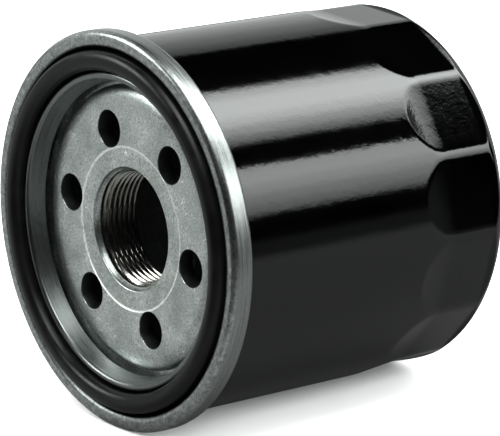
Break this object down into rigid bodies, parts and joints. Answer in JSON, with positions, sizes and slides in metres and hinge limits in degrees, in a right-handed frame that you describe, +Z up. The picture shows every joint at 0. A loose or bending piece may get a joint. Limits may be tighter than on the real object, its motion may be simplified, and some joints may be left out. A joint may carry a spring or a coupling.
{
  "type": "spin-on oil filter",
  "caption": "Spin-on engine oil filter: black steel can with wrench flats, seamed rim, gasket, threaded base plate with inlet holes, and a sprung element with its valves.",
  "frame": {"origin": "under the middle of the filter, on the surface its rim touches as it lies on its side", "axes": "+Y along the filter's axis, from the threaded face towards the closed end; +Z up"},
  "size_m": [0.068, 0.065, 0.068],
  "materials": {
    "black_paint": "gloss",
    "galvanised_steel": "satin",
    "zinc_plate": "satin",
    "plain_steel": "satin",
    "spring_steel": "satin",
    "gasket_rubber": "satin",
    "valve_rubber": "matte",
    "sealing_compound": "matte",
    "adhesive": "matte",
    "filter_paper": "matte"
  },
  "bodies": {
    "housing": {"canister": "black_paint", "seam_plate": "galvanised_steel", "seam_sealant": "sealing_compound", "gasket": "gasket_rubber", "base_plate": "zinc_plate", "element_spring": "spring_steel"},
    "anti_drain_valve": {"anti_drain_valve": "valve_rubber"},
    "element": {"lower_end_cap": "plain_steel", "upper_end_cap": "plain_steel", "lower_adhesive": "adhesive", "upper_adhesive": "adhesive", "filter_media": "filter_paper", "media_seam_clip": "plain_steel", "centre_tube": "plain_steel", "bypass_valve_seat": "plain_steel", "bypass_valve_cage": "plain_steel", "bypass_valve_spring": "spring_steel"},
    "bypass_valve": {"bypass_valve_disc": "plain_steel", "bypass_valve_seal": "valve_rubber"}
  },
  "joints": [
    {"name": "anti_drain_lift", "type": "slide", "parent": "housing", "child": "anti_drain_valve", "axis": [0, 1, 0], "range_m": [0, 0.001], "stiffness_N_per_m": 300, "springref_m": -0.002},
    {"name": "element_float", "type": "slide", "parent": "housing", "child": "element", "axis": [0, 1, 0], "range_m": [0, 0.001], "stiffness_N_per_m": 8000, "springref_m": -0.006, "deforming": ["element_spring"]},
    {"name": "bypass_open", "type": "slide", "parent": "element", "child": "bypass_valve", "axis": [0, -1, 0], "range_m": [0, 0.0025], "stiffness_N_per_m": 2000, "springref_m": -0.0055, "deforming": ["bypass_valve_spring"]}
  ]
}
